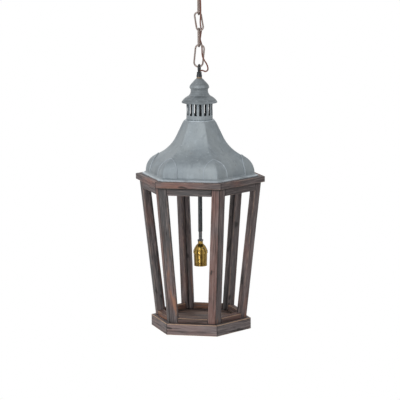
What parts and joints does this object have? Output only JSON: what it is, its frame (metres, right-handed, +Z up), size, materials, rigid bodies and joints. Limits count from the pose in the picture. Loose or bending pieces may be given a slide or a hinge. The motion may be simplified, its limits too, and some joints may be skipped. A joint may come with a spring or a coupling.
{
  "type": "pendant lantern",
  "caption": "Hanging lantern with a tapered hexagonal wooden frame, ogee sheet-metal roof, slotted vent drum, spun cupola, chain with threaded cord, ceiling canopy and a bare lamp socket",
  "frame": {"origin": "middle of the ceiling face, on the lantern's upright axis, where the mounting strap is screwed up to the ceiling box", "axes": "+Z points up into the ceiling; the lantern hangs below; two flat sides of the hexagon face -Y and +Y and two of its corners lie on the X axis"},
  "size_m": [0.376, 0.3256, 1.0009],
  "materials": {
    "weathered_zinc": "dull grey sheet with faint brown spots",
    "aged_wood": "worn grey-brown stain with orange-brown patches",
    "dark_steel": "blackened, half dull",
    "chain_steel": "tarnished grey-brown",
    "galvanised_steel": "plated, satin",
    "rusty_brass": "tarnished, brown",
    "brass": "yellow, half bright, embossed shell",
    "fibre": "dull brown insulating sleeve",
    "contact_porcelain": "dark, dull",
    "cord_cover": "red-brown woven cover"
  },
  "bodies": {
    "ceiling_fitting": {"mounting_strap": "galvanised_steel", "hollow_nipple": "galvanised_steel", "strap_nut": "galvanised_steel", "canopy": "dark_steel", "canopy_loop": "dark_steel"},
    "chain_first": {"first_link": "chain_steel"},
    "chain_second": {"second_link": "chain_steel", "cord": "cord_cover"},
    "chain_third": {"third_link": "chain_steel"},
    "chain_lowest": {"lowest_link": "chain_steel"},
    "lantern": {"lantern_loop": "dark_steel", "cord_in_pipe": "cord_cover", "top_washer": "rusty_brass", "cupola": "weathered_zinc", "vent_drum": "weathered_zinc", "roof": "weathered_zinc", "lamp_pipe": "dark_steel", "pipe_nuts": "galvanised_steel", "socket_cap": "brass", "socket_shell": "brass", "socket_liner": "fibre", "screw_shell": "brass", "contact_block": "contact_porcelain", "cap_board_1": "aged_wood", "cap_board_2": "aged_wood", "cap_board_3": "aged_wood", "cap_board_4": "aged_wood", "cap_board_5": "aged_wood", "cap_board_6": "aged_wood", "top_rail_1": "aged_wood", "top_rail_2": "aged_wood", "top_rail_3": "aged_wood", "top_rail_4": "aged_wood", "top_rail_5": "aged_wood", "top_rail_6": "aged_wood", "left_stile_1": "aged_wood", "left_stile_2": "aged_wood", "left_stile_3": "aged_wood", "left_stile_4": "aged_wood", "left_stile_5": "aged_wood", "left_stile_6": "aged_wood", "right_stile_1": "aged_wood", "right_stile_2": "aged_wood", "right_stile_3": "aged_wood", "right_stile_4": "aged_wood", "right_stile_5": "aged_wood", "right_stile_6": "aged_wood", "bottom_rail_1": "aged_wood", "bottom_rail_2": "aged_wood", "bottom_rail_3": "aged_wood", "bottom_rail_4": "aged_wood", "bottom_rail_5": "aged_wood", "bottom_rail_6": "aged_wood", "base_board_1": "aged_wood", "base_board_2": "aged_wood", "base_board_3": "aged_wood", "base_board_4": "aged_wood", "base_board_5": "aged_wood", "base_board_6": "aged_wood", "floor_panel": "aged_wood"}
  },
  "joints": [
    {"name": "canopy_hinge", "type": "hinge", "parent": "ceiling_fitting", "child": "chain_first", "pos_m": [0, 0, -0.05765], "axis": [1, 0, 0], "range_deg": [-30, 30], "deforming": ["cord"]},
    {"name": "first_hinge", "type": "hinge", "parent": "chain_first", "child": "chain_second", "pos_m": [0, 0, -0.1034], "axis": [0, 1, 0], "range_deg": [-30, 30], "deforming": ["cord"]},
    {"name": "second_hinge", "type": "hinge", "parent": "chain_second", "child": "chain_third", "pos_m": [0, 0, -0.14801], "axis": [1, 0, 0], "range_deg": [-25, 25], "deforming": ["cord"]},
    {"name": "third_hinge", "type": "hinge", "parent": "chain_third", "child": "chain_lowest", "pos_m": [0, 0, -0.19368], "axis": [0, 1, 0], "range_deg": [-25, 25], "deforming": ["cord"]},
    {"name": "lantern_hinge", "type": "hinge", "parent": "chain_lowest", "child": "lantern", "pos_m": [0, 0, -0.25115], "axis": [1, 0, 0], "range_deg": [-25, 25], "deforming": ["cord"]}
  ]
}
